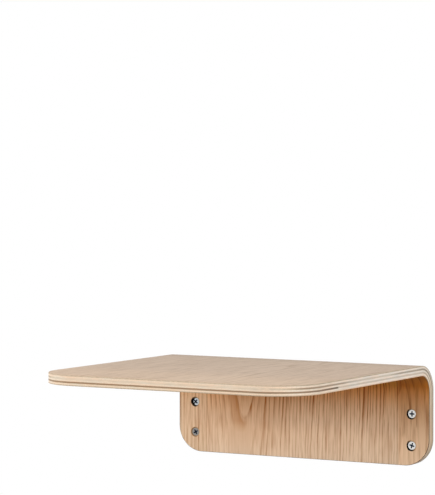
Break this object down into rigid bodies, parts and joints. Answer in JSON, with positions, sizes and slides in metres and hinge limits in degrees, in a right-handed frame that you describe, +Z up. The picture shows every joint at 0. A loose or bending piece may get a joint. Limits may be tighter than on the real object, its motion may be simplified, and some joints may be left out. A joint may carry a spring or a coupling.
{
  "type": "cat wall shelf",
  "caption": "L-shaped wall shelf for a cat: an oak-faced moulded plywood board with rounded corners bends down into a wall plate that is held by countersunk screws.",
  "frame": {"origin": "middle of the screw pattern, on the plane of the wall (the back face of the wall plate)", "axes": "+X along the wall to the right as seen from the room, +Y into the wall along the screws, +Z up"},
  "size_m": [0.3, 0.3302, 0.106],
  "materials": {
    "oak_face_veneer": "satin",
    "pale_core_veneer": "satin",
    "dark_core_veneer": "satin",
    "zinc_plated_steel": "satin"
  },
  "bodies": {
    "root": {"outer_face_veneer": "oak_face_veneer", "upper_long_ply": "pale_core_veneer", "upper_cross_ply": "dark_core_veneer", "middle_long_ply": "pale_core_veneer", "lower_cross_ply_front": "dark_core_veneer", "lower_cross_ply_rear": "pale_core_veneer", "lower_long_ply": "pale_core_veneer", "inner_face_leaf_left": "oak_face_veneer", "inner_face_leaf_middle": "oak_face_veneer", "inner_face_leaf_right": "oak_face_veneer", "screw_upper_left": "zinc_plated_steel", "screw_upper_right": "zinc_plated_steel", "screw_lower_left": "zinc_plated_steel", "screw_lower_right": "zinc_plated_steel"}
  },
  "joints": []
}
